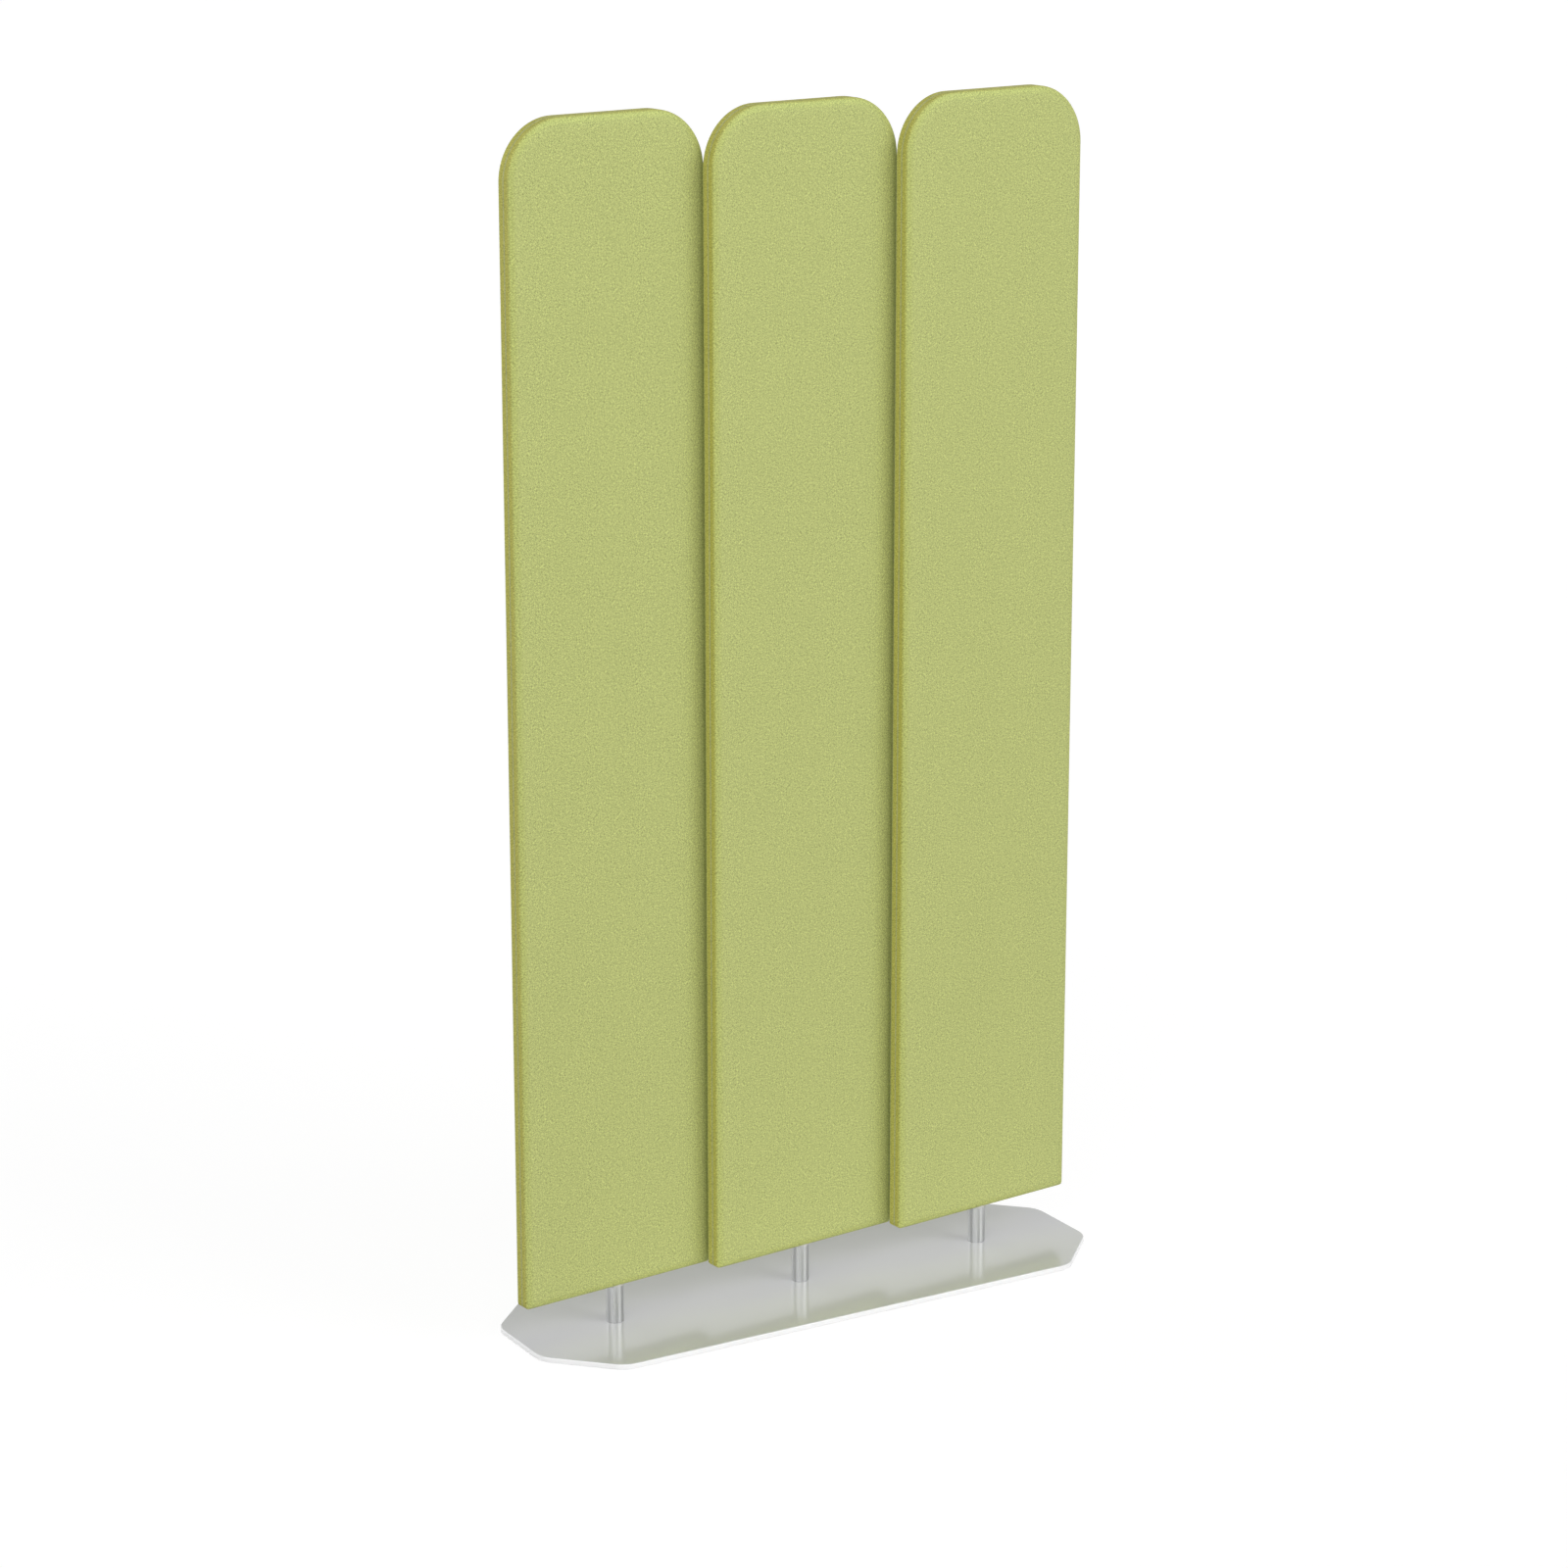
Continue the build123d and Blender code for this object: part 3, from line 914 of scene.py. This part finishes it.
    def swell(self, pan: bpy.types.Object) -> None:
        """Blows the cover's face out in a short cloth simulation, eased down to a shallow crown.

        Args:
            pan: The cover's outer surface. Its rim and walls stay where they are.
        """
        flat = [corner.co.copy() for corner in pan.data.vertices]
        margin = self.sizes.rim_round + self.near
        held = pan.vertex_groups.new(name="held")
        still = [i for i, place in enumerate(flat) if not self.on_face(place, margin)]
        held.add(still, 1.0, "REPLACE")
        swelling = pan.modifiers.new("swell", "CLOTH")
        swelling.settings.quality = self.swell_quality
        swelling.settings.use_pressure = True
        swelling.settings.uniform_pressure_force = self.pressure
        swelling.settings.effector_weights.gravity = 0.0
        swelling.settings.vertex_group_mass = held.name
        swelling.point_cache.frame_start = 1
        swelling.point_cache.frame_end = self.swell_frames
        for frame in range(1, self.swell_frames + 1):
            bpy.context.scene.frame_set(frame)
        bpy.context.view_layer.objects.active = pan
        bpy.ops.object.modifier_apply(modifier=swelling.name)
        bpy.context.scene.frame_set(1)
        pan.vertex_groups.clear()
        for corner, place in zip(pan.data.vertices, flat):
            lift = self.sizes.crown * math.tanh((place.y - corner.co.y) / self.give)
            corner.co = place - Vector((0, lift, 0))

    def ease_rim(self, pan: bpy.types.Object) -> None:
        """Lets a cover's rounded rim and the border of its face fall back along one soft curve.

        Args:
            pan: The cover's outer surface.
        """
        sizes = self.sizes
        for corner in pan.data.vertices:
            place = corner.co
            if place.y < sizes.rim_round + self.near - sizes.front:
                inside = sizes.depth_inside(place)
                rounding = min(max(sizes.rim_round - inside, 0.0), sizes.rim_round)
                arc = sizes.rim_round - math.sqrt(sizes.rim_round**2 - rounding**2)
                place.y += sizes.fall(inside) - arc

    def line_with_cloth(self, pan: bpy.types.Object) -> None:
        """Gives a cover its thickness, its fold along the seam, the pivot's hole and its weave.

        Args:
            pan: The cover's outer surface, which becomes the cover.
        """
        sizes = self.sizes
        finish_modifier(pan, "SOLIDIFY", thickness=sizes.cloth, offset=-1.0)
        with edit_mode(pan):
            pick(pan, Pick.EDGE, lambda p: self.on_outline(p) and p.y > sizes.seam - self.near)
            bpy.ops.mesh.bevel(offset=sizes.seam_fold, segments=self.fold_steps, affect="EDGES")
        self.open_foot(pan)
        self.lay_weave(pan)

    def open_foot(self, piece: bpy.types.Object) -> None:
        """Cuts the round hole that the lower bush's flange stands in.

        Args:
            piece: A cover or the tape.
        """
        sizes = self.sizes
        bpy.ops.object.select_all(action="DESELECT")
        bpy.ops.mesh.primitive_cylinder_add(
            vertices=sizes.hole_sides, radius=sizes.flange_hole / 2, depth=2 * sizes.rim_round
        )
        cutter = bpy.context.object
        finish_modifier(piece, "BOOLEAN", object=cutter, operation="DIFFERENCE", solver="EXACT")
        bpy.data.meshes.remove(cutter.data)

    def lay_weave(self, cover: bpy.types.Object) -> None:
        """Unrolls the cover into a UV map in metres, and notes how far it has gone over the rim.

        Args:
            cover: The cover, with its thickness and its hole.
        """
        sizes = self.sizes
        places = []
        wraps = []
        for corner in cover.data.vertices:
            wrap = sizes.wrap(corner.co)
            inset = max(sizes.rim_width - sizes.depth_inside(corner.co), 0.0)
            out = sizes.outward(corner.co) * (max(wrap, 0.0) - inset)
            places.append((corner.co.x + out.x, corner.co.z + out.y))
            wraps.append(wrap)
        noted = cover.data.attributes.new(WRAP, "FLOAT", "POINT")
        noted.data.foreach_set("value", wraps)
        weave = cover.data.uv_layers.new(name=WEAVE_MAP)
        for corner in cover.data.loops:
            weave.uv[corner.index].vector = places[corner.vertex_index]

    def pad(self, pan: bpy.types.Object) -> bpy.types.Object:
        """Makes the foam pad that fills a cover down to the board frame.

        Args:
            pan: The swollen cover's outer surface.

        Returns:
            A closed pad with the cover's crown and a rounded rim.
        """
        sizes = self.sizes
        bpy.ops.object.select_all(action="DESELECT")
        bpy.context.view_layer.objects.active = pan
        pan.select_set(True)
        bpy.ops.object.duplicate()
        piece = bpy.context.object
        piece.name = piece.data.name = "pad_master"
        finish_modifier(piece, "DISPLACE", strength=-(sizes.cloth + sizes.slip), mid_level=0.0)
        with edit_mode(piece):
            bpy.ops.mesh.select_all(action="SELECT")
            bpy.ops.mesh.bisect(
                plane_co=(0, -sizes.board / 2, 0),
                plane_no=(0, 1, 0),
                use_fill=True,
                clear_outer=True,
                threshold=self.near,
            )
            bpy.ops.mesh.select_all(action="SELECT")
            bpy.ops.mesh.normals_make_consistent(inside=False)
        return piece

    def tape(self) -> bpy.types.Object:
        """Makes the narrow tape that closes the two covers all round, with folded edges.

        Returns:
            The tape, a closed band as deep as the gap between the covers.
        """
        sizes = self.sizes
        piece = self.outline("tape_master")
        with edit_mode(piece):
            pick(piece, Pick.FACE, lambda p: True)
            bpy.ops.mesh.inset(thickness=sizes.cloth)
            bpy.ops.mesh.delete(type="FACE")
            pick(piece, Pick.FACE, lambda p: True)
            across = (0, sizes.tape_width, 0)
            bpy.ops.mesh.extrude_region_move(TRANSFORM_OT_translate={"value": across})
            outer = sizes.cloth / 2
            self.soften_ends(
                piece,
                sizes.tape_width / 2,
                sizes.tape_fold,
                lambda p: sizes.depth_inside(p) < outer,
            )
        self.open_foot(piece)
        return piece

    def soften_ends(
        self, piece: bpy.types.Object, half: float, width: float, rounded: Callable[[Vector], bool]
    ) -> None:
        """Rounds edges of a block that is open in edit mode, at both ends of its thickness.

        Args:
            piece: The block, centred on Y.
            half: Half its thickness.
            width: How much of each edge is rounded.
            rounded: Says of a point whether it is on an edge to round.
        """
        bpy.ops.mesh.select_all(action="SELECT")
        bpy.ops.mesh.normals_make_consistent(inside=False)
        for end in (-1, 1):
            pick(piece, Pick.EDGE, lambda p, end=end: p.y * end > half - self.near and rounded(p))
            bpy.ops.mesh.bevel(offset=width, segments=self.fold_steps, affect="EDGES")

    def felt(self) -> bpy.types.Object:
        """Makes the felt blocks that fill the bays of the board frame, two across and three up.

        Returns:
            The six blocks as one piece.
        """
        sizes = self.sizes
        middle = Vector((sizes.first_bay[0], -sizes.board / 2, sizes.first_bay[1]))
        piece = self.upright_face("felt_master", middle, sizes.bay)
        with edit_mode(piece):
            pick(piece, Pick.VERT, lambda p: True)
            bpy.ops.mesh.bevel(offset=sizes.bay_corner, segments=self.bay_steps, affect="VERTICES")
            pick(piece, Pick.FACE, lambda p: True)
            bpy.ops.mesh.extrude_region_move(TRANSFORM_OT_translate={"value": (0, sizes.board, 0)})
            self.soften_ends(piece, sizes.board / 2, sizes.felt_edge, lambda p: True)
        across, up = sizes.bay_pitch
        for count, step in ((2, (across, 0, 0)), (3, (0, 0, up))):
            finish_modifier(
                piece,
                "ARRAY",
                count=count,
                use_relative_offset=False,
                use_constant_offset=True,
                constant_offset_displace=step,
            )
        return piece


@dataclass
class Panel:
    """One panel: its soft pieces, copied from the masters and set on its post, closed."""

    name: str
    number: int
    sizes: PanelSizes
    materials: Materials
    closed_turn: float = math.radians(6)
    roll_step: tuple[float, float] = (0.41, 0.87)
    felt_fill: float = 0.9
    pad_fill: float = 1.0

    @property
    def body(self) -> str:
        """The body that turns with this panel."""
        return f"{self.name}_panel"

    @property
    def seat(self) -> Vector:
        """Where the panel's foot meets its pivot's axis."""
        low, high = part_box(f"{self.name}_edge_tape")
        return Vector(((low.x + high.x) / 2, (low.y + high.y) / 2, low.z))

    def place(
        self, master: bpy.types.Object, word: str, slot: str, node: str, side: Side
    ) -> bpy.types.Object:
        """Copies a master into the panel, in place of a CAD node.

        Args:
            master: The piece in the panel's own frame.
            word: What the copy is called, after the panel's name.
            slot: The record's slot that it takes its finish from.
            node: The node that it stands for, after the panel's name.
            side: Whether it stays in front or turns to the back.

        Returns:
            The copy, with its place in its mesh.
        """
        bpy.ops.object.select_all(action="DESELECT")
        bpy.context.view_layer.objects.active = master
        master.select_set(True)
        bpy.ops.object.duplicate()
        piece = bpy.context.object
        piece.name = piece.data.name = f"{self.name}_{word}"
        piece.rotation_euler = (0, 0, self.closed_turn + side.value)
        piece.location = self.seat
        bpy.ops.object.transform_apply(location=True, rotation=True, scale=True)
        self.materials.dress(piece, slot)
        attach(piece, self.body)
        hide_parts(f"{self.name}_{node}")
        log.info("%s: %d faces, on %s", piece.name, len(piece.data.polygons), self.body)
        return piece

    def build(self, masters: dict[str, bpy.types.Object]) -> None:
        """Sets the tape, the felt, both pads and both covers.

        Args:
            masters: The soft pieces to copy, by name.
        """
        front = Side.FRONT
        tape = self.place(masters["seam_tape"], "seam_tape", "edge_tape", "edge_tape", front)
        felt = self.place(masters["felt_filling"], "felt_filling", "felt", "acoustic_infill", front)
        for side in Side:
            word = side.name.lower()
            pad = self.place(masters["pad"], f"{word}_pad", "foam", f"foam_{word}", side)
            cloth = self.place(
                masters["cloth"], f"{word}_cloth", "lime_cloth", f"cover_{word}", side
            )
            self.cut_from_roll(cloth, side)

    def cut_from_roll(self, cloth: bpy.types.Object, side: Side) -> None:
        """Starts a cover's weave at its own place on the roll, so that no two covers look the same.

        Args:
            cloth: The cover.
            side: The side of the panel that it covers.
        """
        cuts = 2 * self.number + list(Side).index(side)
        start = Vector(self.roll_step) * cuts
        for corner in cloth.data.uv_layers[WEAVE_MAP].uv:
            corner.vector += start


@dataclass(frozen=True)
class Lamp:
    """A large distant studio lamp, placed by its angles as the camera is."""

    name: str
    azimuth: float
    elevation: float
    strength: float
    spread: float

    def hang(self) -> None:
        """Adds the lamp, shining from where it stands towards the screen."""
        bpy.ops.object.select_all(action="DESELECT")
        aim = (math.pi / 2 - self.elevation, 0, self.azimuth)
        bpy.ops.object.light_add(type="SUN", rotation=aim)
        lamp = bpy.context.object
        lamp.name = lamp.data.name = self.name
        lamp.data.energy = self.strength
        lamp.data.angle = self.spread


@dataclass(frozen=True)
class Studio:
    """White floor and surroundings, soft light that fades overhead and to the back, three lamps."""

    lamps: tuple[Lamp, ...] = (
        Lamp("key_lamp", math.radians(35), math.radians(26), 1.0, math.radians(40)),
        Lamp("fill_lamp", math.radians(-50), math.radians(12), 1.45, math.radians(70)),
        Lamp("back_lamp", math.radians(205), math.radians(7), 1.15, math.radians(60)),
    )
    backdrop: str = "#FFFFFF"
    ambient: float = 1.57
    fade: float = 1.6
    lean: float = 0.45
    floor_size: float = 60.0
    floor_grey: str = "#727272"
    floor_glow: float = 0.9

    def build(self) -> None:
        """Sets up the world, the floor and the lamps, and the plain view transform."""
        bpy.context.scene.view_settings.view_transform = "Standard"
        self.light_world()
        self.lay_floor()
        for lamp in self.lamps:
            lamp.hang()

    def seen(self, tree: bpy.types.NodeTree) -> bpy.types.NodeSocket:
        """Adds a switch for rays that show the surroundings, seen, mirrored or through glass.

        Args:
            tree: The node tree of a material or of the world.

        Returns:
            One for these rays and zero for the others.
        """
        path = add_node(tree, "ShaderNodeLightPath")
        shown = path.outputs["Is Camera Ray"]
        for kind in ("Is Glossy Ray", "Is Transmission Ray"):
            inputs = {0: shown, 1: path.outputs[kind]}
            shown = add_node(tree, "ShaderNodeMath", inputs, operation="MAXIMUM").outputs[0]
        return shown

    def light_world(self) -> None:
        """Makes the surroundings white to look at, and a soft light that fades up and backwards."""
        world = bpy.data.worlds.new("studio")
        world.use_nodes = True
        tree = world.node_tree
        way = add_node(tree, "ShaderNodeTexCoord").outputs["Generated"]
        parts = add_node(tree, "ShaderNodeSeparateXYZ", {0: way}).outputs
        height = {"Value": parts["Z"], "To Min": 1.0, "To Max": 0.0}
        low = add_node(tree, "ShaderNodeMapRange", height).outputs[0]
        power = {0: low, 1: self.fade}
        faded = add_node(tree, "ShaderNodeMath", power, operation="POWER").outputs[0]
        front, back = self.ambient * (1 + self.lean), self.ambient * (1 - self.lean)
        depth = {"Value": parts["Y"], "From Min": -1.0, "From Max": 1.0}
        depth |= {"To Min": front, "To Max": back}
        level = add_node(tree, "ShaderNodeMapRange", depth).outputs[0]
        both = {0: faded, 1: level}
        light = add_node(tree, "ShaderNodeMath", both, operation="MULTIPLY").outputs[0]
        shown = {"Value": self.seen(tree), "To Min": light, "To Max": 1.0}
        strength = add_node(tree, "ShaderNodeMapRange", shown).outputs[0]
        background = tree.nodes["Background"]
        background.inputs["Color"].default_value = linear(self.backdrop)
        tree.links.new(strength, background.inputs["Strength"])
        bpy.context.scene.world = world

    def lay_floor(self) -> None:
        """Lays a floor that looks white and keeps a faint shadow."""
        bpy.ops.object.select_all(action="DESELECT")
        bpy.ops.mesh.primitive_plane_add(size=self.floor_size)
        floor = bpy.context.object
        floor.name = floor.data.name = "studio_floor"
        paint = bpy.data.materials.new("matt_white_floor")
        paint.use_nodes = True
        tree = paint.node_tree
        tree.nodes.remove(tree.nodes["Principled BSDF"])
        glow = {"Value": self.seen(tree), "To Min": 0.0, "To Max": self.floor_glow}
        strength = add_node(tree, "ShaderNodeMapRange", glow).outputs[0]
        lit = add_node(tree, "ShaderNodeBsdfDiffuse", {"Color": linear(self.floor_grey)}).outputs[0]
        shine = add_node(tree, "ShaderNodeEmission", {"Strength": strength}).outputs[0]
        both = add_node(tree, "ShaderNodeAddShader", {0: lit, 1: shine}).outputs[0]
        tree.links.new(both, tree.nodes["Material Output"].inputs["Surface"])
        floor.data.materials.append(paint)


@dataclass(frozen=True)
class PhotoCamera:
    """The photograph's camera, to the left and above, placed about the middle of the plate."""

    lens: float = 96.94
    azimuth: float = math.radians(-30.74)
    tilt: float = math.radians(15.06)
    distance: float = 6.00542
    aside: float = -0.02440
    height: float = 2.40437

    def place(self) -> None:
        """Adds the camera and makes it the scene's."""
        back = Vector((math.sin(self.azimuth), -math.cos(self.azimuth), 0)) * self.distance
        right = Vector((math.cos(self.azimuth), math.sin(self.azimuth), 0)) * self.aside
        bpy.ops.object.select_all(action="DESELECT")
        bpy.ops.object.camera_add(
            location=back + right + Vector((0, 0, self.height)),
            rotation=(math.pi / 2 - self.tilt, 0, self.azimuth),
        )
        camera = bpy.context.object
        camera.name = camera.data.name = "photo_camera"
        camera.data.lens = self.lens
        bpy.context.scene.camera = camera


def main() -> None:
    """Dresses the frame, makes the panels' soft pieces, and sets up the studio and the camera."""
    logging.basicConfig(level=logging.INFO, format="%(message)s")
    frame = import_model()
    materials = Materials.build()
    for subpart in frame["record"]["subparts"]:
        materials.dress(frame["nodes"][subpart["node"]], subpart["material_slot"])
    sizes = PanelSizes()
    masters = SoftMasters(sizes).build()
    for number, name in enumerate(("left", "centre", "right")):
        Panel(name, number, sizes, materials).build(masters)
    for master in masters.values():
        bpy.data.meshes.remove(master.data)
    Studio().build()
    PhotoCamera().place()


if __name__ == "__main__":
    main()
